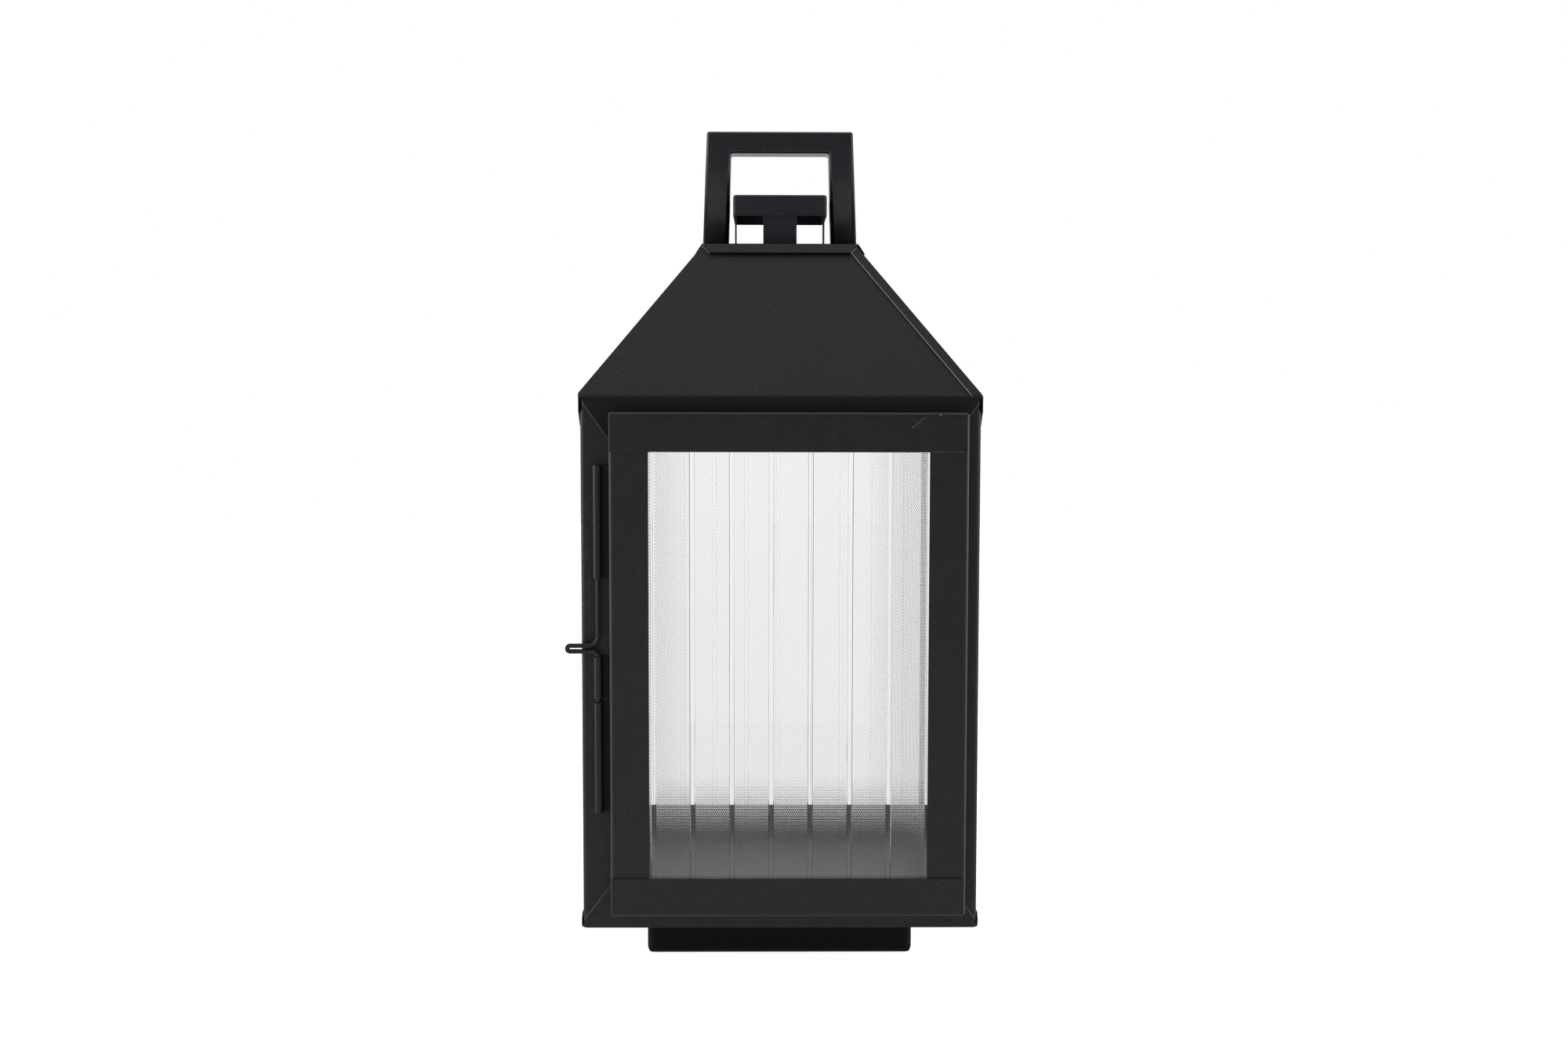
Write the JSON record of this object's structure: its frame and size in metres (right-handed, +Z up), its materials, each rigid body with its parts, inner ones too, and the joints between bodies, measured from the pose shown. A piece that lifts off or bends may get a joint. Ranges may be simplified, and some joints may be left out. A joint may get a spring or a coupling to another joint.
{
  "type": "candle lantern",
  "caption": "Square sheet-metal candle lantern with a glazed hinged door, sliding bolt latch, hip roof, raised vent cap and fixed top handle.",
  "frame": {"origin": "centre of the foot's underside", "axes": "+Z up; -Y towards the door side; +X towards the hinge side"},
  "size_m": [0.1754, 0.1768, 0.3674],
  "materials": {
    "black_coating": "matt black powder coat on folded sheet steel",
    "hardware": "satin black paint on steel wire and rolled sheet",
    "clips": "matt black paint",
    "glass": "clear patterned glass with dotted panels between plain stripes"
  },
  "bodies": {
    "housing": {"foot_pan": "black_coating", "base_tray": "black_coating", "corner_post_front_right": "black_coating", "corner_post_back_right": "black_coating", "corner_post_back_left": "black_coating", "corner_post_front_left": "black_coating", "top_rail_front": "black_coating", "top_rail_right": "black_coating", "top_rail_back": "black_coating", "top_rail_left": "black_coating", "bottom_rail_front": "black_coating", "bottom_rail_right": "black_coating", "bottom_rail_back": "black_coating", "bottom_rail_left": "black_coating", "roof_panel_front": "black_coating", "roof_panel_right": "black_coating", "roof_panel_back": "black_coating", "roof_panel_left": "black_coating", "roof_top_plate": "black_coating", "vent_cap": "black_coating", "cap_leg_front": "black_coating", "cap_leg_right": "black_coating", "cap_leg_back": "black_coating", "cap_leg_left": "black_coating", "handle": "black_coating", "glass_right": "glass", "glass_back": "glass", "glass_left": "glass", "glass_clips_right": "clips", "glass_clips_back": "clips", "glass_clips_left": "clips", "latch_keeper": "hardware", "hinge_upper_body_leaf": "hardware", "hinge_upper_pin": "hardware", "hinge_lower_body_leaf": "hardware", "hinge_lower_pin": "hardware"},
    "door": {"door_top_rail": "black_coating", "door_bottom_rail": "black_coating", "door_stile_left": "black_coating", "door_stile_right": "black_coating", "door_glass": "glass", "door_glass_clips": "clips", "latch_guide_upper": "hardware", "latch_guide_lower": "hardware", "hinge_upper_door_leaf": "hardware", "hinge_lower_door_leaf": "hardware"},
    "bolt": {"latch_bolt": "hardware"}
  },
  "joints": [
    {"name": "door_swing", "type": "hinge", "parent": "housing", "child": "door", "pos_m": [0.0759, -0.0882, 0.134], "axis": [0, 0, 1], "range_deg": [0, 100]},
    {"name": "bolt_lift", "type": "slide", "parent": "door", "child": "bolt", "axis": [0, 0, 1], "range_m": [0, 0.015]}
  ]
}
